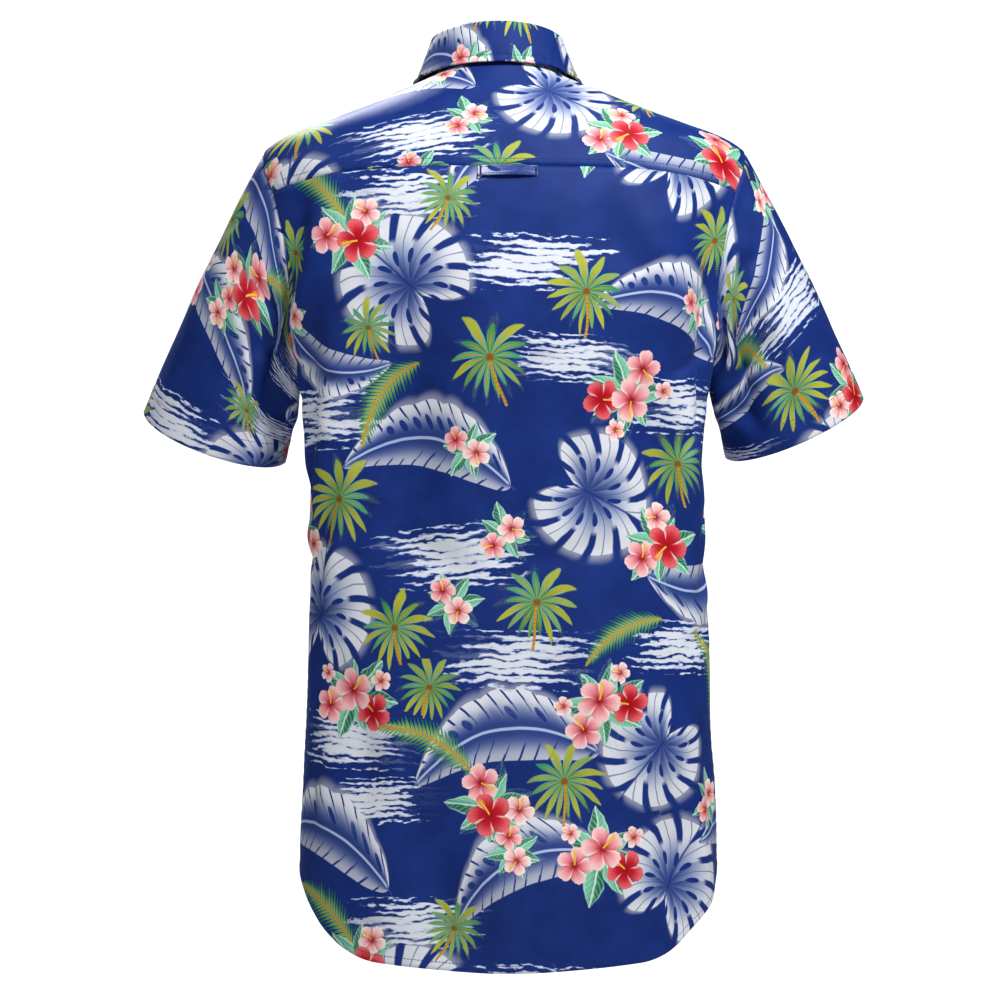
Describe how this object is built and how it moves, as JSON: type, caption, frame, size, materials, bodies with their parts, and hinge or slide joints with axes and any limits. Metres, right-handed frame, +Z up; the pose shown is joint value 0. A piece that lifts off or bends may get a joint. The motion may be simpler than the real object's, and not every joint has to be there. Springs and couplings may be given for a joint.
{
  "type": "hawaiian shirt",
  "caption": "Short-sleeved button-front shirt with pointed collar, back yoke and shirt-tail hem, filled out in its worn, hollow form.",
  "frame": {"origin": "between the shoulders, level with the sides of the neck, where the shirt rests on its wearer", "axes": "+Z up along the body, -Y the way the wearer faces, +X the wearer's left side"},
  "size_m": [0.6333, 0.2412, 0.813],
  "materials": {
    "printed_cotton": null,
    "button_plastic": "blue shirt button, soft gloss"
  },
  "bodies": {
    "root": {"back": "printed_cotton", "back_yoke": "printed_cotton", "front_left": "printed_cotton", "front_right": "printed_cotton", "sleeve_left": "printed_cotton", "sleeve_right": "printed_cotton", "collar_stand": "printed_cotton", "collar_leaf": "printed_cotton", "front_placket": "printed_cotton", "locker_loop": "printed_cotton", "button_1": "button_plastic", "button_2": "button_plastic", "button_3": "button_plastic", "button_4": "button_plastic", "button_5": "button_plastic", "button_6": "button_plastic", "button_collar": "button_plastic"}
  },
  "joints": []
}
